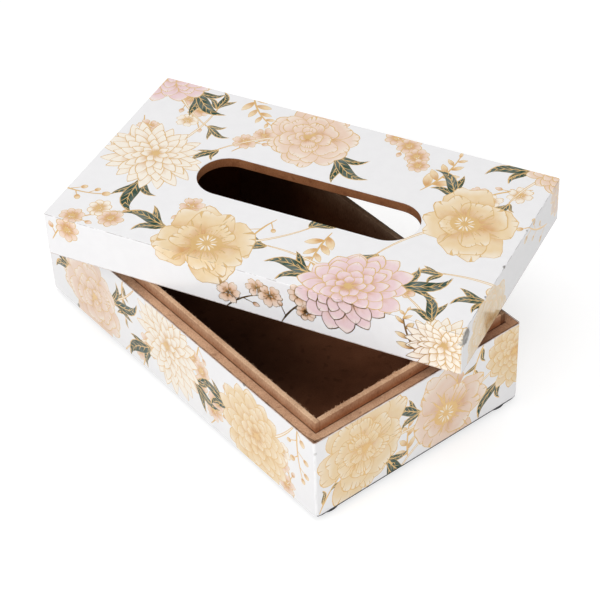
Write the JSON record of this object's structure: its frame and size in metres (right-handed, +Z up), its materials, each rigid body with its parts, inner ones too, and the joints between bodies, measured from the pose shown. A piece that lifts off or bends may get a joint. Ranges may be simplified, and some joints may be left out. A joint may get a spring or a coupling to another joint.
{
  "type": "tissue box",
  "caption": "Rectangular tissue box: a printed tray with a raised inner rim and a loose lid with a round-ended slot, the lid lying askew across the rim.",
  "frame": {"origin": "on the surface that the feet stand on, straight below the lid's centre, which is the centre of the outline of the whole box as it lies", "axes": "+X along the tray's long sides, +Y from its front to its back, +Z up"},
  "size_m": [0.2998, 0.2476, 0.0966],
  "materials": {
    "mdf": "bare brown MDF, matte",
    "printed_film": "white gloss film printed with a gold, blush and green floral",
    "base_sheet": "black, matte",
    "foot_rubber": "black, satin"
  },
  "bodies": {
    "tray": {"tray_front_board": "mdf", "tray_back_board": "mdf", "tray_left_board": "mdf", "tray_right_board": "mdf", "tray_floor_board": "mdf", "rim_front_strip": "mdf", "rim_back_strip": "mdf", "rim_left_strip": "mdf", "rim_right_strip": "mdf", "tray_front_film": "printed_film", "tray_back_film": "printed_film", "tray_left_film": "printed_film", "tray_right_film": "printed_film", "base_sheet": "base_sheet", "foot_front_left": "foot_rubber", "foot_front_right": "foot_rubber", "foot_back_left": "foot_rubber", "foot_back_right": "foot_rubber"},
    "lid": {"lid_front_board": "mdf", "lid_back_board": "mdf", "lid_left_board": "mdf", "lid_right_board": "mdf", "lid_top_board": "mdf", "lid_front_film": "printed_film", "lid_back_film": "printed_film", "lid_left_film": "printed_film", "lid_right_film": "printed_film", "lid_top_film": "printed_film"}
  },
  "joints": [
    {"name": "lid_lift", "type": "slide", "parent": "tray", "child": "lid", "axis": [0, 0, 1], "range_m": [0, 0.12]}
  ]
}
